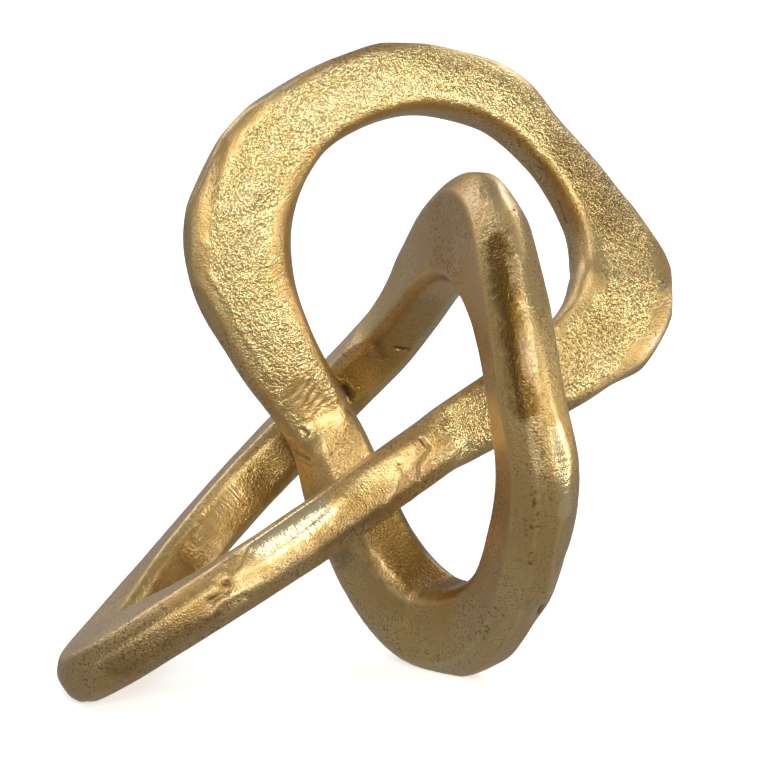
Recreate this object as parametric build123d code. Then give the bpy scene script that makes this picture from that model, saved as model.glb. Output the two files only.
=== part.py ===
from build123d import *
import math
import os

os.makedirs("parts", exist_ok=True)

# A trefoil knot made from three horseshoe castings welded end to end into one closed band.
# Millimetres and degrees. +Z is up, -Y is the front, and the knot rests on two ground flats.

# Driving dimensions
edge_bevel = 3.1        # chamfer along the four long edges of the band
weld_reach = 6.0        # length of each casting's end that is cut back for its weld
root_share = 0.6        # size of the root face left at a joint, against the full band
weld_crown = 1.02       # how far a ground weld still swells over the band
ground_depth = 2.2      # metal ground off the lowest point to make the resting flats
stance_roll = -1.1      # turn about Y that brings the two lowest points level
steps_per_gap = 3       # lofted sections from one station to the next
cutter_size = 400.0     # any size well over that of the whole knot

# Each casting is drawn in its own plane. Its origin is midway between the two open ends,
# X runs from the open ends to the tip, and Z is the way its cast face looks.
upper_plane = Plane(origin=(3, 9, 76), x_dir=(0.20, 0.34, 0.92), z_dir=(0.02, -0.94, 0.34))
lower_plane = Plane(origin=(12, 21, 87), x_dir=(-0.72, -0.39, -0.57), z_dir=(-0.56, -0.16, 0.82))
right_plane = Plane(origin=(-7, 38, 86), x_dir=(0.47, -0.88, -0.05), z_dir=(-0.88, -0.47, 0.01))

# Stations along each casting: along X, along Y, lift off the plane, width of the band,
# thickness of the band, and the lean of its cast face out of the plane.
# Every casting starts where the one before it ends, so the first station is the joint.
upper_stations = [
    (0.5, 19.5, -18, 21, 17, 1),
    (22, 40, -8, 25.5, 16.5, 1),
    (43, 54.5, -1, 30.5, 16.5, 7),
    (66, 57, 3.5, 30, 16.5, 14),
    (93, 44.5, 6, 24, 16.5, 14),
    (112, 17, 5, 21, 16, 7),
    (113.5, -11.5, 1, 19, 15.5, -9),
    (101.5, -35, -4, 17.5, 14.5, -20),
    (85.5, -52, -6, 21, 14.5, -21),
    (71.5, -62, -4, 28, 15.5, -17),
    (58, -65.5, 0, 31, 16, -12),
    (42, -60.5, 4, 29, 16, -6),
    (23, -44, 9.5, 23, 16, -6),
    (-1.5, -19, 17, 18, 16, -8),
]
lower_stations = [
    (10.5, 29.5, -9, 20, 16.5, 14),
    (51, 28.5, -5, 22, 16.5, 15),
    (90, 24.5, -0.5, 24.5, 15.5, 13),
    (114, 17.5, 2, 26.5, 15, 9),
    (126, 7.5, 1.5, 27.5, 15, 6),
    (127.5, -5, -1, 27.5, 15, 0),
    (116, -21, -4, 26, 15, -5),
    (87, -40.5, -6, 23.5, 16, -12),
    (49, -50, -4, 21.5, 17, -12),
    (12, -44.5, 1.5, 20.5, 17, -4),
    (-10.5, -29, 9, 20, 17, 5),
]
right_stations = [
    (-6.5, 11, -14, 21.5, 16, -28),
    (9.5, 30, -17.5, 25, 15.5, -25),
    (29, 48, -16, 29.5, 15.5, -20),
    (48.5, 57.5, -13, 32, 15.5, -11),
    (67.5, 57, -9, 33, 15.5, 1),
    (87.5, 43.5, -5, 31, 16.5, 15),
    (102, 20, -3.5, 27.5, 18, 19),
    (106, -6, -6.5, 24.5, 18.5, 13),
    (95, -31.5, -10.5, 22, 17.5, 4),
    (76, -53.5, -15.5, 22, 17, -2),
    (54.5, -68, -16.5, 26.5, 18, -8),
    (33.5, -69.5, -11.5, 30, 20, -7),
    (17, -53, -2.5, 28, 20, 1),
    (6, -11.5, 13.5, 22, 19, -2),
]

planes = [upper_plane, lower_plane, right_plane]
tables = [upper_stations, lower_stations, right_stations]


def blend(values, share):
    """A smooth curve through four values in a row, taken between the middle two."""
    before, start, end, after = values
    slope_in = (end - before) / 2
    slope_out = (after - start) / 2
    square = share * share
    cube = square * share
    from_start = start * (2 * cube - 3 * square + 1)
    from_end = end * (3 * square - 2 * cube)
    return from_start + slope_in * (cube - 2 * square + share) + from_end + slope_out * (cube - square)


def closed_centre_line():
    """The centre of the band at every station, all the way round the knot."""
    points = []
    for plane, table in zip(planes, tables):
        for along, across, lift, *_ in table[:-1]:
            points.append(plane.from_local_coords(Vector(along, across, lift)))
    return points


centre_line = closed_centre_line()


def centre_at(place):
    """The centre of the band at a place counted in stations round the whole knot."""
    first = math.floor(place)
    near = [centre_line[(first + offset) % len(centre_line)] for offset in (-1, 0, 1, 2)]
    axes = zip(*(tuple(point) for point in near))
    return Vector(*(blend(values, place - first) for values in axes))


def section_at(number, place):
    """The plane across the band at a place, with the band's width along X and thickness along Y."""
    first_station = sum(len(table) - 1 for table in tables[:number])
    table = tables[number]
    own = place - first_station
    first = min(math.floor(own), len(table) - 2)
    rows = [table[min(max(first + offset, 0), len(table) - 1)] for offset in (-1, 0, 1, 2)]
    width, thick, lean = (blend([row[column] for row in rows], own - first) for column in (3, 4, 5))
    nudge = 0.01
    tangent = (centre_at(place + nudge) - centre_at(place - nudge)).normalized()
    up = planes[number].z_dir
    face = (up - tangent * up.dot(tangent)).normalized()
    sideways = tangent.cross(face)
    face = face * math.cos(math.radians(lean)) + sideways * math.sin(math.radians(lean))
    plane = Plane(origin=centre_at(place), x_dir=face.cross(tangent), z_dir=tangent)
    return plane, width, thick


def outline(plane, width, thick, scale=1.0):
    """The band's bevelled oblong outline on a plane."""
    x = width * scale / 2
    y = thick * scale / 2
    bevel = edge_bevel * scale
    corners = [
        (x, y - bevel), (x - bevel, y), (bevel - x, y), (-x, y - bevel),
        (-x, bevel - y), (bevel - x, -y), (x - bevel, -y), (x, bevel - y),
    ]
    return plane * make_face(Polyline(*corners, close=True))


def casting_ends(number):
    """Where a casting's joints are, and where its full section starts and stops, in stations."""
    start = sum(len(table) - 1 for table in tables[:number])
    end = start + len(tables[number]) - 1
    first_gap = (centre_at(start + 1) - centre_at(start)).length
    last_gap = (centre_at(end) - centre_at(end - 1)).length
    return start, start + weld_reach / first_gap, end - weld_reach / last_gap, end


def make_casting(number):
    """One horseshoe casting, its two ends cut back to root faces at the joints."""
    start, full_start, full_end, end = casting_ends(number)
    count = steps_per_gap * (end - start)
    run = full_end - full_start
    places = [full_start + run * step / count for step in range(count + 1)]
    sections = [outline(*section_at(number, place)) for place in places]
    roots = [outline(*section_at(number, joint), scale=root_share) for joint in (start, end)]
    return loft([roots[0], *sections, roots[1]], ruled=True)


def turned_to_match(section, other):
    """The same section turned by quarters until its width lies the way the other's does."""
    plane, width, thick = section
    aim = other[0].x_dir
    if abs(plane.y_dir.dot(aim)) > abs(plane.x_dir.dot(aim)):
        plane = Plane(origin=plane.origin, x_dir=plane.y_dir, z_dir=plane.z_dir)
        width, thick = thick, width
    if plane.x_dir.dot(aim) < 0:
        plane = Plane(origin=plane.origin, x_dir=-plane.x_dir, z_dir=plane.z_dir)
    return plane, width, thick


def make_weld(number, castings):
    """The weld between a casting and the next one, filling the groove between their ends."""
    following = (number + 1) % len(castings)
    last_full = casting_ends(number)[2]
    joint, next_full = casting_ends(following)[:2]
    before = section_at(number, last_full)
    after = turned_to_match(section_at(following, next_full), before)
    middle = Plane(
        origin=centre_at(joint),
        x_dir=before[0].x_dir + after[0].x_dir,
        z_dir=section_at(following, joint)[0].z_dir,
    )
    width = (before[1] + after[1]) / 2
    thick = (before[2] + after[2]) / 2
    sections = [outline(*before), outline(middle, width, thick, weld_crown), outline(*after)]
    return loft(sections, ruled=True) - castings[number] - castings[following]


castings = [make_casting(number) for number in range(len(tables))]
welds = [make_weld(number, castings) for number in range(len(tables))]

nodes = {
    "upper_loop": castings[0],
    "lower_left_loop": castings[1],
    "right_loop": castings[2],
    "weld_upper_to_lower_left": welds[0],
    "weld_lower_left_to_right": welds[1],
    "weld_right_to_upper": welds[2],
}

# Stand the knot level, grind the resting flats, then put the middle of the footprint at the origin.
for name in nodes:
    nodes[name] = Rot(0, stance_roll, 0) * nodes[name]
lowest = min(shape.bounding_box().min.Z for shape in nodes.values())
floor_cut = Pos(0, 0, lowest + ground_depth - cutter_size / 2) * Box(cutter_size, cutter_size, cutter_size)
for name in ("lower_left_loop", "right_loop"):
    nodes[name] = nodes[name] - floor_cut

whole = Compound(children=[shape.solids()[0] for shape in nodes.values()]).bounding_box()
to_origin = Pos(-whole.center().X, -whole.center().Y, -whole.min.Z)
for name, shape in nodes.items():
    export_step(to_origin * Part(shape.solids()[0].wrapped), f"parts/{name}.step")
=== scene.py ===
import math

import bpy
import numpy as np
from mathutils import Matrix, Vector


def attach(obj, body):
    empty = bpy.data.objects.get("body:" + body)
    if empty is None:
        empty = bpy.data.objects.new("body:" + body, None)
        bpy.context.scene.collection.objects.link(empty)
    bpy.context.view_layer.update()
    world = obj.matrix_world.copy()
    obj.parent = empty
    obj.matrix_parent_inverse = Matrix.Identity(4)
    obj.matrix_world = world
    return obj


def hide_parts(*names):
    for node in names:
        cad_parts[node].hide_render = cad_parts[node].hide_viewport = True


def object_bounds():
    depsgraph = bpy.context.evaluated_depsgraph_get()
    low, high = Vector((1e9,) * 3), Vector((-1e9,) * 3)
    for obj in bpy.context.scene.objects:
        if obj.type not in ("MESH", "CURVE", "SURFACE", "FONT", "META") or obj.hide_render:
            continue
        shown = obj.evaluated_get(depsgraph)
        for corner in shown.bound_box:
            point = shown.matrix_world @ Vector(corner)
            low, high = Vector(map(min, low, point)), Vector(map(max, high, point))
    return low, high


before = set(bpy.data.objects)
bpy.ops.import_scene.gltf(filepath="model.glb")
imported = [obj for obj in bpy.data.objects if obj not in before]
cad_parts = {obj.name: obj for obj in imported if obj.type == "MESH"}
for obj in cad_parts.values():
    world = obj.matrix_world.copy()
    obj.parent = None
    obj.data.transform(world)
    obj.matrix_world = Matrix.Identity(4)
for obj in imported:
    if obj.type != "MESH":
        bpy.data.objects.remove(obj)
cad_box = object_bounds()

# ---------------------------------------------------------------- sizes, in millimetres
MM = 0.001
RING_GAP = 0.52          # along the band, from one ring of points to the next
POINTS_ROUND = 138       # points in each ring
FINE_STEPS = 200         # trial steps in each station gap, for measuring along the band
FINE_ANGLES = 360        # trial steps round a ring, for measuring round it
BAND_GIRTH = 70.0        # about how far it is round the band
WELD_REACH = 6.0         # half the length of a weld along the band
STANCE_ROLL = -1.1       # degrees about Y, from the castings' drawing frame to the record's
FRAME_SHIFT = np.array([1.306, -0.027, -0.323])    # then this puts the knot's box over the origin

# The shift above, these planes and the stations weren't worked out by hand. The shift is what part.py
# printed. The planes and stations are a least-squares fit to band edges traced from the photo, with
# depths chosen so that the knot stands, rounded and then changed in a few places.
# Each casting's plane: origin, direction of its length, direction its cast face looks
PLANES = [
    ((3, 9, 76), (0.20, 0.34, 0.92), (0.02, -0.94, 0.34)),
    ((12, 21, 87), (-0.72, -0.39, -0.57), (-0.56, -0.16, 0.82)),
    ((-7, 38, 86), (0.47, -0.88, -0.05), (-0.88, -0.47, 0.01)),
]
# Stations as in the solids: along, across, lift, width, thickness, lean in degrees
STATIONS = [
    [
        (0.5, 19.5, -18, 21, 17, 1), (22, 40, -8, 25.5, 16.5, 1), (43, 54.5, -1, 30.5, 16.5, 7),
        (66, 57, 3.5, 30, 16.5, 14), (93, 44.5, 6, 24, 16.5, 14), (112, 17, 5, 21, 16, 7),
        (113.5, -11.5, 1, 19, 15.5, -9), (101.5, -35, -4, 17.5, 14.5, -20),
        (85.5, -52, -6, 21, 14.5, -21), (71.5, -62, -4, 28, 15.5, -17), (58, -65.5, 0, 31, 16, -12),
        (42, -60.5, 4, 29, 16, -6), (23, -44, 9.5, 23, 16, -6), (-1.5, -19, 17, 18, 16, -8),
    ],
    [
        (10.5, 29.5, -9, 20, 16.5, 14), (51, 28.5, -5, 22, 16.5, 15), (90, 24.5, -0.5, 24.5, 15.5, 13),
        (114, 17.5, 2, 26.5, 15, 9), (126, 7.5, 1.5, 27.5, 15, 6), (127.5, -5, -1, 27.5, 15, 0),
        (116, -21, -4, 26, 15, -5), (87, -40.5, -6, 23.5, 16, -12), (49, -50, -4, 21.5, 17, -12),
        (12, -44.5, 1.5, 20.5, 17, -4), (-10.5, -29, 9, 20, 17, 5),
    ],
    [
        (-6.5, 11, -14, 21.5, 16, -28), (9.5, 30, -17.5, 25, 15.5, -25), (29, 48, -16, 29.5, 15.5, -20),
        (48.5, 57.5, -13, 32, 15.5, -11), (67.5, 57, -9, 33, 15.5, 1), (87.5, 43.5, -5, 31, 16.5, 15),
        (102, 20, -3.5, 27.5, 18, 19), (106, -6, -6.5, 24.5, 18.5, 13), (95, -31.5, -10.5, 22, 17.5, 4),
        (76, -53.5, -15.5, 22, 17, -2), (54.5, -68, -16.5, 26.5, 18, -8),
        (33.5, -69.5, -11.5, 30, 20, -7), (17, -53, -2.5, 28, 20, 1), (6, -11.5, 13.5, 22, 19, -2),
    ],
]
NAMES = ["upper", "lower", "right"]
# Bevels of each casting: outer front, inner front, inner back, outer back. Then how crisp its edges are.
BEVELS = [(5.8, 2.4, 3.5, 4.5, 16), (4.4, 3.0, 3.2, 4.4, 26), (6.0, 3.2, 3.4, 6.0, 28)]
CROWN_ANGLE = 70         # the way the upper casting's outer slope faces, in degrees
CROWN_START = 0.1        # where on its half width that slope starts
SPARE = 0.75             # metal that rounding the corners, the file and the grain take off again


# ---------------------------------------------------------------- small maths
def unit(v):
    """The same directions with a length of 1."""
    return v / np.linalg.norm(v, axis=-1, keepdims=True)


def smooth(low, high, x):
    """0 below low, 1 above high, and a soft step between."""
    t = np.clip((x - low) / (high - low), 0, 1)
    return t * t * (3 - 2 * t)


def catmull(rows, share):
    """The smooth curve between the middle two of four rows, as the solids have it."""
    a, b, c, d = rows
    q, r = share * share, share ** 3
    places = b * (2 * r - 3 * q + 1) + c * (3 * q - 2 * r)
    return places + (c - a) / 2 * (r - 2 * q + share) + (d - b) / 2 * (r - q)


def scramble(i, j, k, seed):
    """A repeatable whole number for each corner of a lattice."""
    h = (i * 374761393 + j * 668265263 + k * 2147483647 + seed * 974634777) & 0xFFFFFFFF
    h = ((h ^ (h >> 13)) * 1274126177) & 0xFFFFFFFF
    return h ^ (h >> 16)


def noise(points, scale, seed=0):
    """Gradient noise from about -1 to 1, with lumps about one scale across."""
    p = points.reshape(-1, 3) / scale
    cell = np.floor(p).astype(np.int64)
    f = p - cell
    u = f * f * f * (f * (f * 6 - 15) + 10)
    total = np.zeros(len(p))
    for dx in (0, 1):
        for dy in (0, 1):
            for dz in (0, 1):
                h = scramble(cell[:, 0] + dx, cell[:, 1] + dy, cell[:, 2] + dz, seed)
                gx = (h & 1023) / 511.5 - 1
                gy = ((h >> 10) & 1023) / 511.5 - 1
                gz = ((h >> 20) & 1023) / 511.5 - 1
                dot = gx * (f[:, 0] - dx) + gy * (f[:, 1] - dy) + gz * (f[:, 2] - dz)
                w = (u[:, 0] if dx else 1 - u[:, 0]) * (u[:, 1] if dy else 1 - u[:, 1])
                total += dot * w * (u[:, 2] if dz else 1 - u[:, 2])
    return (total * 1.4).reshape(points.shape[:-1])


# ---------------------------------------------------------------- the band
def turn_to_record(v):
    """From the castings' drawing frame to the record's, for directions."""
    a = math.radians(STANCE_ROLL)
    x, y, z = v[..., 0], v[..., 1], v[..., 2]
    return np.stack([x * math.cos(a) + z * math.sin(a), y, z * math.cos(a) - x * math.sin(a)], -1)


def place_in_record(v):
    """From the castings' drawing frame to the record's, for places."""
    return turn_to_record(v) + FRAME_SHIFT


def plane_of(number):
    """A casting's origin and its X, Y and Z directions."""
    origin, x_dir, z_dir = (np.array(v, float) for v in PLANES[number])
    z = unit(z_dir)
    x = unit(x_dir - (x_dir @ z) * z)
    return origin, x, np.cross(z, x), z


def closed_centres():
    """The centre of the band at every station, all the way round the knot."""
    parts = []
    for number, table in enumerate(STATIONS):
        origin, x, y, z = plane_of(number)
        rows = np.array(table, float)[:-1]
        parts.append(place_in_record(origin + rows[:, :1] * x + rows[:, 1:2] * y + rows[:, 2:3] * z))
    return np.concatenate(parts)


CENTRES = closed_centres()
FIRST = [0, len(STATIONS[0]) - 1, len(STATIONS[0]) + len(STATIONS[1]) - 2]
LAPS = len(CENTRES)


def centre_at(place):
    """The centre of the band at places counted in stations round the whole knot."""
    first = np.floor(place).astype(int)
    rows = [CENTRES[(first + k) % LAPS] for k in (-1, 0, 1, 2)]
    return catmull(rows, (place - first)[:, None])


def section_values(number, place):
    """Width, thickness, face direction and side direction of one casting at places along it."""
    table = np.array(STATIONS[number], float)
    own = place - FIRST[number]
    first = np.clip(np.floor(own).astype(int), 0, len(table) - 2)
    rows = [table[np.clip(first + k, 0, len(table) - 1)][:, 3:6] for k in (-1, 0, 1, 2)]
    width, thick, lean = catmull(rows, (own - first)[:, None]).T
    tangent = unit(centre_at(place + 0.01) - centre_at(place - 0.01))
    up = turn_to_record(plane_of(number)[3])
    face = unit(up - tangent * (tangent @ up)[:, None])
    sideways = np.cross(tangent, face)
    angle = np.radians(lean)[:, None]
    face = face * np.cos(angle) + sideways * np.sin(angle)
    return width, thick, face, np.cross(face, tangent)


def even_places():
    """Places along the band an even distance apart, and how far along each one is."""
    fine = np.linspace(0, LAPS, LAPS * FINE_STEPS + 1)
    steps = np.linalg.norm(np.diff(centre_at(fine), axis=0), axis=1)
    along = np.concatenate([[0], np.cumsum(steps)])
    count = int(round(along[-1] / RING_GAP))
    marks = np.arange(count) * along[-1] / count
    return np.interp(marks, along, fine), marks


places, marks = even_places()
rings = len(places)
casting = np.searchsorted(FIRST, places, side="right") - 1
width, thick = np.zeros(rings), np.zeros(rings)
face, side = np.zeros((rings, 3)), np.zeros((rings, 3))
for n in range(3):
    own = casting == n
    width[own], thick[own], face[own], side[own] = section_values(n, places[own])
centre = centre_at(places)
joints = [np.where(casting == n)[0][-1] for n in range(3)]


def outline_radius(c, s, half_w, half_t, bevels, power, crowned):
    """Distance from the centre to a softened octagon's edge, for every ring and angle.
    A crowned casting's face also falls away gently over its outer part."""
    root = math.sqrt(0.5)
    sides = [(1, 0, half_w), (-1, 0, half_w), (0, 1, half_t), (0, -1, half_t)]
    for (sx, sy), bevel in zip(((1, 1), (-1, 1), (-1, -1), (1, -1)), bevels):
        sides.append((sx * root, sy * root, (half_w + half_t - bevel) * root))
    if crowned:
        a = math.radians(CROWN_ANGLE)
        reach = math.cos(a) * CROWN_START * half_w + math.sin(a) * half_t
        sides.append((math.cos(a), math.sin(a), reach))
    total = 0
    for nx, ny, d in sides:
        total = total + (np.maximum(0, nx * c + ny * s) / d) ** power
    return total ** (-1 / power)


def profile(number, start_angle):
    """Points round one casting's rings, in side and face coordinates, an even distance apart."""
    own = casting == number
    angles = np.linspace(0, 2 * math.pi, FINE_ANGLES + 1)[None, :-1] + start_angle[own, None]
    c, s = np.cos(angles), np.sin(angles)
    *bevels, power = BEVELS[number]
    half_w = width[own, None] / 2 + SPARE
    half_t = thick[own, None] / 2 + SPARE
    r = outline_radius(c, s, half_w, half_t, bevels, power, crowned=number == 0)
    x, y = r * c, r * s
    step = np.hypot(np.diff(x, axis=1, append=x[:, :1]), np.diff(y, axis=1, append=y[:, :1]))
    total = np.concatenate([np.zeros((len(r), 1)), np.cumsum(step, axis=1)], axis=1)
    out = np.zeros((2, len(r), POINTS_ROUND))
    for k in range(len(r)):
        want = np.arange(POINTS_ROUND) * total[k, -1] / POINTS_ROUND
        out[0, k] = np.interp(want, total[k], np.append(x[k], x[k, 0]))
        out[1, k] = np.interp(want, total[k], np.append(y[k], y[k, 0]))
    return out


def start_angles():
    """Where each ring's first point is, so that the points run on smoothly through every weld."""
    turns = [0.0]
    for n in range(3):
        last = joints[n]
        first = (last + 1) % rings
        start = side[last] * math.cos(turns[n]) + face[last] * math.sin(turns[n])
        turns.append(math.atan2(start @ face[first], start @ side[first]))
    left_over = turns[3] - round(turns[3] / (2 * math.pi)) * 2 * math.pi
    angle = np.array([turns[n] for n in casting])
    share = (places - FIRST[2]) / (LAPS - FIRST[2])
    return angle - np.where(casting == 2, left_over * smooth(0.1, 0.9, share), 0)


def band_points():
    """Every ring's points, before any marks."""
    angle = start_angles()
    flat = np.concatenate([profile(n, angle) for n in range(3)], axis=1)
    return centre[:, None] + flat[0][..., None] * side[:, None] + flat[1][..., None] * face[:, None]


def soften_joint(points, joint, reach, passes):
    """Blends the rings either side of a weld into one another."""
    offsets = np.arange(-reach, reach + 1)
    ids = (joint + offsets) % rings
    weight = np.clip(1.3 - np.abs(offsets) / reach, 0, 1)[:, None, None]
    for _ in range(passes):
        level = (points[(ids + 1) % rings] + points[(ids - 1) % rings]) / 2
        points[ids] += 0.5 * weight * (level - points[ids])


def normals_of(points):
    """Outward normals of the ring grid."""
    along = np.roll(points, -1, 0) - np.roll(points, 1, 0)
    around = np.roll(points, -1, 1) - np.roll(points, 1, 1)
    return unit(np.cross(around, along))


points = band_points()
for joint in joints:
    soften_joint(points, joint, reach=14, passes=60)
normals = normals_of(points)

number = np.repeat(casting[:, None], POINTS_ROUND, 1)
station = np.repeat((places - np.array(FIRST)[casting])[:, None], POINTS_ROUND, 1)
offset = points - centre[:, None]
# The way across the band from its centre: 0 outer wall, 90 face, 180 inner wall, 270 back
across = np.degrees(np.arctan2(np.sum(offset * face[:, None], -1), np.sum(offset * side[:, None], -1))) % 360
wander = noise(points, 5, 11)


def sector(middle, half, soft=12):
    """1 inside a range of directions across the band, with a soft and wandering edge."""
    away = np.abs((across - middle + 180) % 360 - 180) + 9 * wander
    return smooth(half + soft, half - soft, away)


def stretch(n, first, last, soft=0.3):
    """1 along part of one casting, with soft ends."""
    at = station + 0.25 * wander
    return (number == n) * smooth(first - soft, first + soft, at) * smooth(last + soft, last - soft, at)


def cast_skin():
    """1 where the surface is as it left the sand, towards 0 where it was filed smooth."""
    upper = np.maximum.reduce([sector(84, 52), 0.7 * sector(270, 40), 0.06 * np.ones_like(across)])
    upper = upper * (1 - 0.8 * stretch(0, -0.1, 0.06, 0.15) * sector(30, 35))
    lower = np.maximum.reduce([0.4 * sector(180, 40), 0.3 * sector(270, 40), 0.06 * np.ones_like(across)])
    lower = np.maximum(lower, 0.85 * stretch(1, -1, 0.12) * sector(35, 60))
    right = np.maximum.reduce([0.3 * sector(180, 35), 0.3 * sector(270, 40), 0.05 * np.ones_like(across)])
    right = np.maximum(right, 0.75 * stretch(2, 4.3, 6.3) * sector(15, 13))
    right = np.maximum(right, 0.35 * stretch(2, 7.6, 12.3) * sector(65, 50))
    return np.select([number == 0, number == 1], [upper, lower], right)


def tarnish_zones():
    """1 where the gold finish has browned, 0 where it is still yellow."""
    upper = np.maximum(0.8 * sector(0, 20), 0.5 * sector(180, 26))
    legs = 0.6 * stretch(1, 2.6, 9.0) * sector(20, 30)
    lower = np.maximum.reduce([sector(90, 44), 0.45 * sector(325, 30), legs])
    right = np.maximum(0.15 * sector(100, 62), 0.8 * stretch(2, 2.7, 4.3) * sector(60, 100))
    right = np.maximum(right, 0.9 * stretch(2, 4.5, 6.6) * sector(14, 13))
    return np.select([number == 0, number == 1], [upper, lower], right)


skin = cast_skin()
tarnish = tarnish_zones()
ground = np.zeros_like(skin)
crease = np.zeros_like(skin)
# Painted shade, filled in by shade() below
painted_shade = np.zeros_like(skin)


def ring_at(n, at):
    return int(np.argmin(np.abs(places - FIRST[n] - at)))


def spot(n, at, angle):
    """A point on the surface, by casting, station along it and direction across the band."""
    ring = ring_at(n, at)
    away = np.abs((across[ring] - angle + 180) % 360 - 180)
    return points[ring, np.argmin(away)]


def grind(n, at, angle, depth, reach, edge=0.8):
    """Files a flat: depth is what comes off the highest point, reach how far the file went,
    and edge how softly the flat ends."""
    ring = ring_at(n, at)
    a = math.radians(angle)
    facing = side[ring] * math.cos(a) + face[ring] * math.sin(a)
    heights = points[ring] @ facing
    away = np.linalg.norm(points - points[ring][np.argmax(heights)], axis=-1)
    over = points @ facing - (heights.max() - depth)
    soft_over = np.where(over > edge, over, np.maximum(over + edge, 0) ** 2 / (4 * edge))
    move = soft_over * smooth(reach, reach * 0.35, away)
    points[...] -= move[..., None] * facing
    ground[...] = np.maximum(ground, 0.4 * smooth(0.1, 0.9, move))


ragged = 1 + 0.35 * noise(points, 2.4, 31)


def distance_to(path):
    """How far every point is from a path of spots, in mm."""
    spots = [spot(*place) for place in path]
    away = np.linalg.norm(points - spots[0], axis=-1)
    for start, end in zip(spots, spots[1:]):
        line = end - start
        share = np.clip((points - start) @ line / (line @ line), 0, 1)
        away = np.minimum(away, np.linalg.norm(points - start - share[..., None] * line, axis=-1))
    return away


def groove(path, wide, deep, dark=0.0, lip=0.0):
    """Cuts a groove along a path of spots, with a raised lip beside it. One spot makes a pit."""
    away = distance_to(path) * ragged
    cut = np.exp(-(away / wide) ** 2)
    rim = np.exp(-((away - 2.2 * wide) / wide) ** 2)
    points[...] += normals * (lip * rim - deep * cut)[..., None]
    crease[...] = np.maximum(crease, dark * cut)


def wear(path, reach, deep, shine_and_highlight):
    """Wears a smooth hollow along a path, with the cast skin gone inside it and the metal bright: partly
    worn metal, partly a painted highlight where it is strongest.
    """
    away = distance_to(path) * ragged / reach
    worn = smooth(1.5, 0.3, away)
    points[...] -= normals * (deep * worn)[..., None]
    skin[...] *= 1 - 0.9 * smooth(1.3, 0.7, away)
    tarnish[...] *= 1 - 0.9 * worn
    ground[...] = np.maximum(ground, shine_and_highlight * worn)


def swell(n, first, last, angle, much, reach=9.0):
    """Fills out a stretch of the band, where the casting is fuller than its even outline."""
    away = distance_to([(n, at, angle) for at in np.linspace(first, last, 4)])
    points[...] += normals * (much * np.exp(-(away / reach) ** 2))[..., None]


def shade(path, reach, dark):
    """Paints shade and reflected gold: darkens a patch to a deep, saturated brown gold."""
    painted_shade[...] = np.maximum(painted_shade, dark * smooth(1, 0.3, distance_to(path) / reach * ragged))


pits = smooth(0.15, 0.5, noise(points, 1.1, 41))


def pitted(path, reach, deep, dark):
    """Leaves a patch of small dark pits."""
    here = pits * smooth(1, 0.4, distance_to(path) / reach * ragged)
    points[...] -= normals * (deep * here)[..., None]
    crease[...] = np.maximum(crease, dark * here)


# From here to the painted shade, some places were looked up from the photo and rounded, and the rest
# were put in one by one. From here to the dark stretches, some places were looked up from the photo
# with a scratch script and rounded, and the rest were put in by eye.
# Corners and full places: casting, first and last station, direction across, how much
for row in (
    (0, 2.35, 2.65, 8, 0.9), (0, 3.4, 3.7, 8, 0.9), (0, 4.9, 5.2, 10, 0.9), (0, 6.0, 6.3, 8, 1.4),
    (0, 7.7, 8.8, 20, 0.9), (0, 9.2, 9.6, 8, 0.9), (0, 9.9, 10.8, 5, 1.2), (0, 1.9, 2.6, 180, 0.8),
    (0, 8.9, 9.9, 180, 0.8), (0, 5.2, 5.5, 180, 0.5),
    (2, 2.7, 4.2, 0, 1.0), (2, 4.4, 5.2, -20, 0.8), (2, 11.1, 12.3, 70, 1.5), (2, 6.8, 8.4, -28, 1.2),
    (2, 1.3, 2.5, 40, 1.0),
):
    swell(*row)
# Flats that the file left: casting, station, direction across, depth, reach
for row in (
    (0, 1.3, 30, 0.8, 26), (0, 2.3, 18, 0.6, 22), (0, 3.1, 8, 0.7, 22), (0, 4.15, 14, 0.9, 28),
    (0, 5.4, 6, 0.6, 26), (0, 7.3, 12, 0.6, 28), (0, 8.2, 4, 0.5, 26), (0, 9.7, 6, 0.4, 24),
    (0, 10.6, 2, 0.5, 24), (0, 11.6, 0, 0.4, 22), (0, 12.4, 30, 0.4, 20),
    (0, 6.2, 92, 0.2, 26),
    (1, 0.55, 14, 0.55, 17), (1, 1.4, 28, 0.7, 24), (1, 2.5, -20, 0.4, 24), (1, 3.2, 60, 0.3, 24),
    (1, 4.2, 5, 0.4, 18), (1, 4.9, 10, 0.3, 18), (1, 6.5, -5, 0.3, 26), (1, 7.6, 190, 0.3, 30),
    (1, 2.6, 60, 0.25, 30), (1, 3.4, -30, 0.4, 24),
    (2, 1.5, 10, 0.4, 22), (2, 3.3, 6, 0.4, 16), (2, 3.9, 30, 0.3, 18), (2, 4.2, -25, 0.5, 18),
    (2, 5.4, -38, 0.5, 26), (2, 6.6, -14, 0.95, 32), (2, 7.6, -34, 0.5, 22), (2, 8.7, -10, 0.5, 22),
    (2, 9.7, -8, 0.5, 20), (2, 10.6, 25, 0.4, 18), (2, 11.7, 5, 0.4, 24), (2, 2.4, 60, 0.25, 26),
):
    grind(*row)

# The weld between the upper and right castings: worn smooth, with curved file ridges
wear([(0, 0.4, 84), (0, 0.15, 104)], 5.5, 0.5, 0.3)
wear([(0, 0.2, 12), (2, 12.85, 84)], 3.6, 0.2, 0.35)
groove([(0, 0.6, 120), (0, 0.4, 96), (0, 0.3, 70), (0, 0.1, 62)], 1.5, -0.3)
for line in range(5):
    at = 0.5 - 0.08 * line
    groove([(0, at + 0.05, 116), (0, at, 96), (0, at - 0.05, 74)], 0.6, 0.16)
groove([(0, 0.1, 52), (0, 0.05, 60), (2, 12.9, 76), (2, 12.85, 120)], 0.6, 0.5, 0.5, 0.2)
groove([(0, 0.05, 140)], 0.8, 0.5, 0.5)
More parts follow.
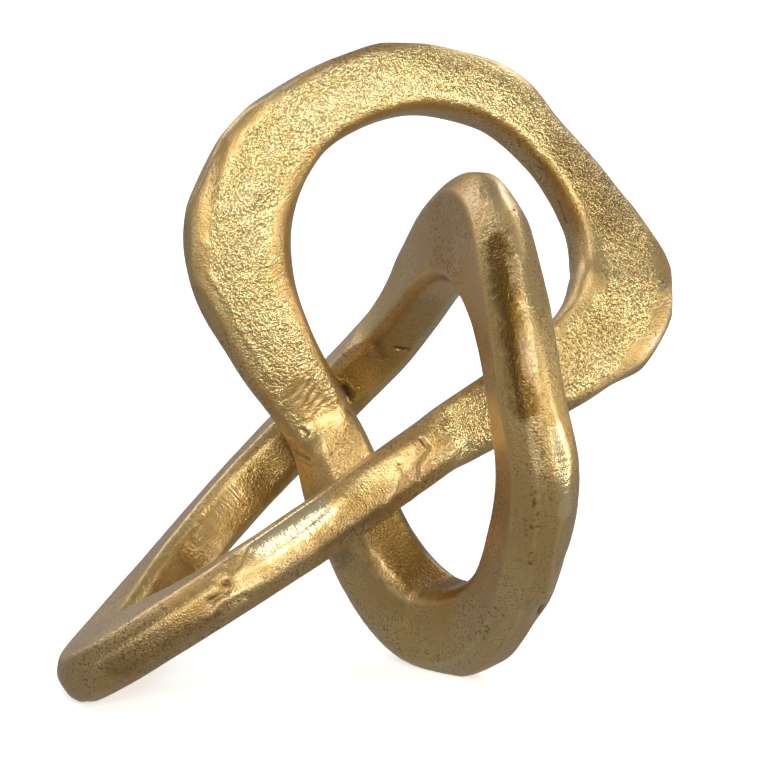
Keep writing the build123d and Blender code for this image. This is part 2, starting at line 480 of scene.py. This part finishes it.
# The weld between the upper and lower castings: a raised lip and a crack
wear([(1, 0.55, 14), (1, 0.8, 20)], 4.5, 0.3, 0.35)
groove([(1, 0.3, 35), (1, 0.3, 14), (1, 0.4, 2)], 1.6, -0.4)
groove([(1, 0.2, 24), (1, 0.2, 4), (1, 0.35, -6), (1, 0.4, -20)], 0.6, 0.7, 0.7, 0.1)
groove([(0, 12.95, -4), (0, 12.95, 14)], 0.4, 0.3, 0.4)
groove([(1, 0.5, 2), (1, 0.6, -16), (1, 0.7, -26)], 1.6, -0.5)
groove([(1, 0.45, 12)], 0.5, 0.3, 0.5)
# The weld between the lower and right castings: a notch, a dark patch and a knot
groove([(2, 0.5, 197), (2, 0.45, 180)], 0.9, 0.8, 0.7)
groove([(2, 0.3, 158), (2, 0.2, 170)], 2.0, 0.6, 0.3)
groove([(1, 9.35, 189), (1, 9.4, 175)], 1.2, 0.9, 0.8, 0.3)
# Upper casting: a step in the outer bevel, a swirl dent, and the parting line inside
groove([(0, 3.3, 16), (0, 2.8, 26), (0, 2.4, 32)], 1.4, 0.15, 0.0, 0.15)
groove([(0, 2.0, 30), (0, 1.7, 43), (0, 1.35, 44), (0, 0.9, 50), (0, 0.7, 51)], 1.1, -0.35)
groove([(0, 3.7, 91)], 2.6, 0.6)
groove([(0, 7.65, 173), (0, 8.0, 176)], 0.35, 0.3, 0.7)
groove([(0, 8.5, 180), (0, 9.25, 193)], 0.35, 0.3, 0.7)
# Lower casting: a filed flat, bright with worn metal and a painted highlight, a gouge in the front leg, and
# a ridge along its foot
wear([(1, 1.15, 26), (1, 1.6, 30)], 5.5, 0.25, 1.0)
groove([(1, 1.8, 44), (1, 1.9, 30), (1, 2.0, 14)], 2.6, 0.9)
groove([(1, 2.0, 12)], 0.9, 0.8, 0.85)
groove([(1, 2.3, -12), (1, 2.1, -4), (1, 1.75, -12)], 1.3, -0.45)
groove([(1, 2.2, 4), (1, 2.05, 2)], 0.8, 0.5, 0.5)
groove([(1, 4.6, -21), (1, 4.0, -22), (1, 3.25, -17), (1, 2.55, -24), (1, 1.95, -22)], 1.1, -0.4)
# A bright streak on the back leg's inner wall: worn metal and a painted highlight
wear([(1, 7.25, 172), (1, 7.8, 166)], 2.8, 0.2, 0.7)
# On the right casting's outer wall: worn metal and a painted highlight
wear([(2, 6.45, -16), (2, 7.15, -18)], 3.0, 0.1, 0.7)
# Right casting: ridges either side of the rough strip, pores, and marks in the foot
groove([(2, 3.9, 16), (2, 4.6, 21), (2, 5.15, 24), (2, 6.15, 30)], 1.0, -0.3)
groove([(2, 4.55, 4), (2, 4.95, -6), (2, 5.7, -4), (2, 6.2, -5), (2, 7.05, -6)], 0.7, -0.3)
groove([(2, 4.35, -8)], 0.45, 0.4, 0.8)
groove([(2, 8.4, -15), (2, 8.55, -18)], 0.7, 0.9, 0.95)
groove([(2, 10.9, 80), (2, 11.4, 68), (2, 11.9, 60)], 1.2, -0.35)

# Patches of pits: along the right casting's strip and across its foot, and on the lower casting's tip
pitted([(2, 7.0, 20), (2, 7.7, 24)], 4, 0.2, 0.7)
pitted([(2, 8.6, 46), (2, 9.2, 60)], 4, 0.2, 0.7)
pitted([(2, 4.6, 12), (2, 5.3, 12)], 4, 0.15, 0.5)
pitted([(2, 11.3, 110), (2, 10.6, 100)], 5, 0.1, 0.35)
pitted([(1, 3.2, 0), (1, 3.9, 6)], 5, 0.1, 0.4)

# Painted shade: stretches darkened where shade falls, on inner walls, in dips of the faces and on walls
# turned from the lamps
shade([(2, 12.3, 185), (2, 11.4, 185), (2, 10.6, 190)], 14, 0.9)
shade([(2, 0.3, 175), (2, 1.5, 180)], 12, 0.3)
shade([(1, 5.2, 180), (1, 6.2, 178), (1, 7.1, 182)], 13, 0.45)
shade([(1, 8.1, 185), (1, 9.3, 185)], 12, 0.5)
shade([(0, 7.2, 95), (0, 8.3, 85)], 13, 0.45)
shade([(0, 11.1, 100), (0, 12.0, 90)], 12, 0.25)
# Along the rough strip this stands partly for dark dirt and partly for painted shade
shade([(2, 4.7, 14), (2, 5.4, 13), (2, 6.2, 15)], 6, 1.0)
shade([(1, 2.2, 0), (1, 3.4, 0)], 8, 0.5)
shade([(1, 0.7, -8), (1, 1.2, -12)], 7, 0.5)
shade([(2, 12.5, 90), (2, 12.2, 95)], 9, 0.5)

# Sand grain, slow waviness, and a fainter drag of the file on the smooth parts
skin = skin * (1 - ground)
foil = -0.17 * np.abs(noise(points, 1.9, 1)) - 0.12 * np.abs(noise(points, 1.15, 2))
foil = foil + 0.20 * noise(points, 3.6, 5)
slow = 0.05 * noise(points, 7.0, 3) * (1 + 2 * skin) + 0.22 * noise(points, 20.0, 4)
points += normals * (foil * (0.04 + 0.96 * skin) + slow * (1 - 0.6 * ground))[..., None]


def edge_wear_and_highlight():
    """1 along convex ridges, where hands and cloths have kept the metal bright, and where a highlight is
    painted along the edges.
    """
    reach = 4
    around = (np.roll(points, reach, 1) + np.roll(points, -reach, 1)) / 2
    proud = np.sum((points - around) * normals, -1)
    low, high = np.quantile(proud, (0.84, 0.975))
    return smooth(low, high, proud)


edge = edge_wear_and_highlight()
# The resting flats, and nothing outside the solids' box
low, high = (np.array(corner) / MM for corner in cad_box)
points[...] = np.clip(points, low, high)
normals = normals_of(points)


# ---------------------------------------------------------------- meshes
LAYERS = {
    "skin": skin, "ground": ground, "crease": crease, "painted_shade": painted_shade, "tarnish": tarnish, "edge": edge,
}


def piece_rings(first, last):
    """Ring numbers from first to last, counted round the closed band."""
    count = (last - first) % rings
    return (first + np.arange(count + 1)) % rings


def make_piece(name, ids):
    """One closed mesh from a run of rings, capped at both ends, with its surface values."""
    n, m = len(ids), POINTS_ROUND
    row = np.arange(n - 1)[:, None] * m
    col = np.arange(m)[None, :]
    a = row + col
    b = row + (col + 1) % m
    quads = np.stack([a, b, b + m, a + m], -1).reshape(-1, 4)
    start_cap = np.arange(m)[::-1]
    end_cap = (n - 1) * m + np.arange(m)
    mesh = bpy.data.meshes.new(name)
    faces = quads.tolist() + [start_cap.tolist(), end_cap.tolist()]
    mesh.from_pydata((points[ids].reshape(-1, 3) * MM).tolist(), [], faces)
    mesh.polygons.foreach_set("use_smooth", np.ones(len(faces), bool))
    for key, values in LAYERS.items():
        layer = mesh.attributes.new(key, "FLOAT", "POINT")
        layer.data.foreach_set("value", values[ids].reshape(-1).astype(np.float32))
    band = np.zeros((n * m, 3), np.float32)
    band[:, 0] = np.repeat(marks[ids], m)
    band[:, 1] = np.tile(np.arange(m) * BAND_GIRTH / m, n)
    layer = mesh.attributes.new("band", "FLOAT_VECTOR", "POINT")
    layer.data.foreach_set("vector", band.reshape(-1))
    mesh.normals_split_custom_set_from_vertices(normals[ids].reshape(-1, 3).tolist())
    mesh.update()
    return place_object(name, mesh)


def place_object(name, data):
    """A new object in the scene."""
    thing = bpy.data.objects.new(name, data)
    bpy.context.scene.collection.objects.link(thing)
    return thing


WELD_HALF = int(WELD_REACH / RING_GAP)
pieces = []
for n in range(3):
    before, after = joints[n - 1], joints[n]
    pieces.append((NAMES[n] + "_casting", piece_rings(before + WELD_HALF, after - WELD_HALF)))
    pieces.append(("weld_after_" + NAMES[n], piece_rings(after - WELD_HALF, after + WELD_HALF)))


# ---------------------------------------------------------------- materials
# Pattern sizes: lumps to the metre, but file marks to the millimetre of band
FOIL_SCALE = 1120
SAND_SCALE = 1700
SPECK_SCALE = 1250
BLOTCH_SCALE = 60
MARK_SCALE = 1.2
MARK_STRETCH = 0.12      # how much longer a file mark is across the band: 1 / 0.12
# Heights of the relief, in metres
FOIL_HEIGHT = 0.0007
SAND_HEIGHT = 0.00035
MARK_HEIGHT = 0.0004
# Colours, in pairs where they vary from patch to patch
YELLOW_GOLD = (0.82, 0.61, 0.245, 1), (0.90, 0.69, 0.32, 1)
FILED_GOLD = (0.67, 0.43, 0.15, 1), (0.73, 0.49, 0.19, 1)
BROWNED_GOLD = (0.58, 0.40, 0.20, 1), (0.68, 0.49, 0.26, 1)
# Worn metal, also used as a painted highlight
BRIGHT_WEAR_AND_HIGHLIGHT = (0.93, 0.79, 0.50, 1)
# Rubbed edges, also used as a painted highlight along ridges
RUBBED_EDGE_AND_HIGHLIGHT = (0.88, 0.68, 0.33, 1)
SPECK_BROWN = (0.20, 0.115, 0.05, 1)
# Painted shade in the low spots of the cast grain
GRAIN_SHADE_BROWN = (0.36, 0.22, 0.06, 1)
# Painted shade, with the deep brown gold of gold mirrored in gold
PAINTED_SHADE_AMBER = (0.22, 0.12, 0.024, 1)
CREASE_BROWN = (0.085, 0.05, 0.022, 1)


class Graph:
    """A few short ways to wire up one material's nodes."""

    def __init__(self, name):
        self.material = bpy.data.materials.new(name)
        self.material.use_nodes = True
        self.nodes = self.material.node_tree.nodes
        self.links = self.material.node_tree.links
        self.shader = self.nodes["Principled BSDF"]
        self.place = self.nodes.new("ShaderNodeTexCoord").outputs["Object"]

    def attribute(self, name, output="Fac"):
        """A value that the mesh holds at its points."""
        node = self.nodes.new("ShaderNodeAttribute")
        node.attribute_name = name
        return node.outputs[output]

    def noise(self, scale, detail, place=None):
        """Noise in the object's own space, or in the coordinates given."""
        node = self.nodes.new("ShaderNodeTexNoise")
        node.inputs["Scale"].default_value = scale
        node.inputs["Detail"].default_value = detail
        self.links.new(place or self.place, node.inputs["Vector"])
        return node.outputs["Fac"]

    def spread(self, value, low, high, to_low, to_high):
        """A value between low and high, carried over to a range of its own."""
        node = self.nodes.new("ShaderNodeMapRange")
        for key, number in zip(("From Min", "From Max", "To Min", "To Max"), (low, high, to_low, to_high)):
            node.inputs[key].default_value = number
        self.links.new(value, node.inputs["Value"])
        return node.outputs["Result"]

    def maths(self, kind, a, b):
        """One sum on two sockets or numbers."""
        node = self.nodes.new("ShaderNodeMath")
        node.operation = kind
        for socket, value in zip(node.inputs, (a, b)):
            if isinstance(value, (int, float)):
                socket.default_value = value
            else:
                self.links.new(value, socket)
        return node.outputs["Value"]

    def mix(self, share, a, b):
        """Colour a, going to b as share goes from 0 to 1. Sockets 6 and 7 are the node's colours."""
        node = self.nodes.new("ShaderNodeMix")
        node.data_type = "RGBA"
        for key, value in ((0, share), (6, a), (7, b)):
            if isinstance(value, (int, float, tuple)):
                node.inputs[key].default_value = value
            else:
                self.links.new(value, node.inputs[key])
        return node.outputs[2]

    def bump(self, height, strength, distance, under=None):
        """A layer of relief, on top of the one under it."""
        node = self.nodes.new("ShaderNodeBump")
        node.inputs["Distance"].default_value = distance
        self.links.new(height, node.inputs["Height"])
        self.links.new(strength, node.inputs["Strength"])
        if under:
            self.links.new(under, node.inputs["Normal"])
        return node.outputs["Normal"]


def stretched_band(graph):
    """Band coordinates drawn out across the band, for file marks."""
    node = graph.nodes.new("ShaderNodeMapping")
    node.inputs["Scale"].default_value = (1.0, MARK_STRETCH, 1.0)
    graph.links.new(graph.attribute("band", "Vector"), node.inputs["Vector"])
    return node.outputs["Vector"]


def gold_relief(graph, skin, ground, foil):
    """Three layers of relief: crumpled skin, fine sand everywhere, and file marks on the flats."""
    sand = graph.noise(SAND_SCALE, 3.0)
    marks = graph.noise(MARK_SCALE, 3.0, stretched_band(graph))
    relief = graph.bump(foil, skin, FOIL_HEIGHT)
    off_flats = graph.spread(ground, 0.0, 1.0, 0.75, 0.12)
    off_skin = graph.spread(skin, 0.3, 0.9, 1.0, 0.45)
    relief = graph.bump(sand, graph.maths("MULTIPLY", off_flats, off_skin), SAND_HEIGHT, relief)
    return graph.bump(marks, graph.spread(ground, 0.0, 1.0, 0.15, 0.7), MARK_HEIGHT, relief)


def dark_specks(graph, skin, ground, blotches):
    """How much of the surface small brown specks cover: most where the finish has browned."""
    specks = graph.noise(SPECK_SCALE, 2.5)
    dirt = graph.maths("ADD", graph.attribute("tarnish"), graph.spread(blotches, 0.40, 0.60, 0.0, 0.7))
    dirt = graph.maths("MINIMUM", dirt, 1.0)
    share = graph.maths("MULTIPLY", graph.spread(specks, 0.53, 0.62, 0.0, 0.8), dirt)
    filed = graph.spread(ground, 0.0, 0.6, 0.0, 0.9)
    clean = graph.maths("MAXIMUM", filed, graph.attribute("edge"))
    share = graph.maths("MULTIPLY", share, graph.maths("SUBTRACT", 1.0, clean))
    return graph.maths("MULTIPLY", share, graph.spread(skin, 0.4, 0.9, 1.0, 0.35))


def gold_colour(graph, skin, ground, foil, blotches):
    """Yellow gold on the skin, redder where it was filed, browned in places, dark in creases, lighter with
    painted highlights on worn spots and ridges, and darker with painted shade in the grain's low spots and
    in shaded stretches.
    """
    patchy = graph.spread(blotches, 0.38, 0.62, 0.0, 1.0)
    yellow = graph.mix(patchy, *YELLOW_GOLD)
    filed = graph.mix(patchy, *FILED_GOLD)
    brown = graph.mix(patchy, *BROWNED_GOLD)
    full = graph.maths("MAXIMUM", skin, ground)
    colour = graph.mix(graph.spread(full, 0.1, 0.7, 0.0, 1.0), filed, yellow)
    # Bright worn metal, which is also a painted highlight where the wear is strongest
    colour = graph.mix(graph.spread(ground, 0.4, 1.0, 0.0, 0.8), colour, BRIGHT_WEAR_AND_HIGHLIGHT)
    # Lighter along convex ridges: partly rubbed metal, partly a painted highlight
    colour = graph.mix(graph.maths("MULTIPLY", graph.attribute("edge"), 0.45), colour, RUBBED_EDGE_AND_HIGHLIGHT)
    uneven = graph.spread(blotches, 0.3, 0.55, 0.55, 1.0)
    colour = graph.mix(graph.maths("MULTIPLY", graph.attribute("tarnish"), uneven), colour, brown)
    colour = graph.mix(dark_specks(graph, skin, ground, blotches), colour, SPECK_BROWN)
    # Painted shade in the low spots of the crumpled skin's relief
    grain_shade = graph.spread(foil, 0.36, 0.52, 0.45, 0.0)
    colour = graph.mix(graph.maths("MULTIPLY", grain_shade, skin), colour, GRAIN_SHADE_BROWN)
    # Painted shade over the shaded stretches
    colour = graph.mix(graph.attribute("painted_shade"), colour, PAINTED_SHADE_AMBER)
    return graph.mix(graph.attribute("crease"), colour, CREASE_BROWN)


def gold_roughness(graph, skin, ground, blotches):
    """Smoother where the metal was filed, and on the facets of the cast skin."""
    rough = graph.spread(ground, 0.0, 1.0, 0.34, 0.20)
    rough = graph.maths("SUBTRACT", rough, graph.maths("MULTIPLY", skin, 0.17))
    return graph.maths("ADD", rough, graph.spread(blotches, 0.3, 0.7, 0.05, -0.03))


def gold_material(name, polish):
    """Cast aluminium with an aged gold finish; polish is 0 for sand-cast skin, 1 for filed metal."""
    graph = Graph(name)
    skin = graph.maths("MULTIPLY", graph.attribute("skin"), 1.0 - 0.3 * polish)
    ground = graph.attribute("ground")
    foil = graph.noise(FOIL_SCALE, 2.5)
    blotches = graph.noise(BLOTCH_SCALE, 4.0)
    socket = graph.shader.inputs
    graph.links.new(gold_relief(graph, skin, ground, foil), socket["Normal"])
    graph.links.new(gold_colour(graph, skin, ground, foil, blotches), socket["Base Color"])
    graph.links.new(gold_roughness(graph, skin, ground, blotches), socket["Roughness"])
    socket["Metallic"].default_value = 1.0
    # A thin clear lacquer, which is what makes the brightest highlights white
    socket["Coat Weight"].default_value = 0.3
    socket["Coat Roughness"].default_value = 0.16
    return graph.material


gold = gold_material("gold_cast", 0)
weld_gold = gold_material("gold_weld", 1)
NODE_OF = {
    "upper_casting": ("upper_loop", "cast_gold"),
    "lower_casting": ("lower_left_loop", "cast_gold"),
    "right_casting": ("right_loop", "cast_gold"),
    "weld_after_upper": ("weld_upper_to_lower_left", "ground_weld"),
    "weld_after_lower": ("weld_lower_left_to_right", "ground_weld"),
    "weld_after_right": ("weld_right_to_upper", "ground_weld"),
}
for name, ids in pieces:
    piece = make_piece(name, ids)
    node, slot = NODE_OF[name]
    piece.data.materials.append(gold if slot == "cast_gold" else weld_gold)
    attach(piece, "root")
    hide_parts(node)


# ---------------------------------------------------------------- floor, lights, camera
def make_stage():
    """A pale floor that curves up into a backdrop behind the knot."""
    half_width, near, far, bend, top = 5.0, -5.0, 1.2, 0.8, 4.0
    steps = 24
    outline = [(near, 0.0), (far, 0.0)]
    for step in range(1, steps + 1):
        angle = math.radians(90 * step / steps)
        outline.append((far + bend * math.sin(angle), bend - bend * math.cos(angle)))
    outline.append((far + bend, top))
    points = [(x, y, z) for y, z in outline for x in (-half_width, half_width)]
    faces = [(2 * k, 2 * k + 1, 2 * k + 3, 2 * k + 2) for k in range(len(outline) - 1)]
    mesh = bpy.data.meshes.new("stage")
    mesh.from_pydata(points, [], faces)
    mesh.polygons.foreach_set("use_smooth", [True] * len(faces))
    material = bpy.data.materials.new("pale_stage")
    material.use_nodes = True
    shader = material.node_tree.nodes["Principled BSDF"]
    shader.inputs["Base Color"].default_value = (0.86, 0.86, 0.86, 1)
    shader.inputs["Roughness"].default_value = 0.9
    shader.inputs["Emission Color"].default_value = (1, 1, 1, 1)
    shader.inputs["Emission Strength"].default_value = 0.58
    mesh.materials.append(material)
    stage = place_object("stage", mesh)
    stage.visible_glossy = False    # the metal mirrors a grey room, not a white table


def aim(thing, place, target):
    """Puts a light or camera at a place, looking at a target."""
    thing.location = place
    thing.rotation_euler = (Vector(target) - Vector(place)).to_track_quat("-Z", "Y").to_euler()


def area_light(name, azimuth, elevation, size, power, distance=1.6):
    """A soft box aimed at the knot; azimuth 0 is in front, 90 to the right."""
    a, e = math.radians(azimuth), math.radians(elevation)
    away = Vector((math.sin(a) * math.cos(e), -math.cos(a) * math.cos(e), math.sin(e)))
    light = bpy.data.lights.new(name, "AREA")
    light.shape = "RECTANGLE"
    light.size, light.size_y = size
    light.energy = power
    aim(place_object(name, light), AIM + away * distance, AIM)


AIM = Vector((0, 0, 0.095))    # the middle of the knot
make_stage()
# These started from a least-squares fit to the photo's brightness, then were changed one by one
area_light("key", 9, 27, (0.60, 0.50), 9.8)
area_light("right_front_low", 34, 8, (0.50, 0.36), 1.0)
area_light("front_low", 0, 4, (0.60, 0.40), 0.4)
area_light("left_front_low", -34, 6, (0.55, 0.45), 2.0)
area_light("right_low", 77, 4, (0.70, 0.36), 7.2)
area_light("top", -14, 63, (0.55, 0.32), 2.8)
area_light("left_back_high", 225, 34, (0.6, 0.6), 3.5)
area_light("back_high", 150, 38, (0.6, 0.5), 4.0)

world = bpy.data.worlds.new("studio")
bpy.context.scene.world = world
world.use_nodes = True
world.node_tree.nodes["Background"].inputs["Color"].default_value = (1, 1, 1, 1)
world.node_tree.nodes["Background"].inputs["Strength"].default_value = 0.30

# The camera, in millimetres in the castings' drawing frame, rolled with the knot. Its height and
# distance are the ones assumed when the stations were fitted
CAMERA_PLACE = np.array([4.95, -788.2, 231.3])
CAMERA_TARGET = np.array([4.95, 5.5, 91.3])
CAMERA_ANGLE = 16.93     # degrees across the frame
camera = bpy.data.cameras.new("camera")
camera.sensor_width = 36
camera.angle = math.radians(CAMERA_ANGLE)
camera.clip_start = 0.05
camera_object = place_object("camera", camera)
aim(camera_object, place_in_record(CAMERA_PLACE) * MM, place_in_record(CAMERA_TARGET) * MM)
camera_object.rotation_euler.rotate_axis("Z", math.radians(-STANCE_ROLL))
bpy.context.scene.camera = camera_object
bpy.context.scene.view_settings.view_transform = "Standard"
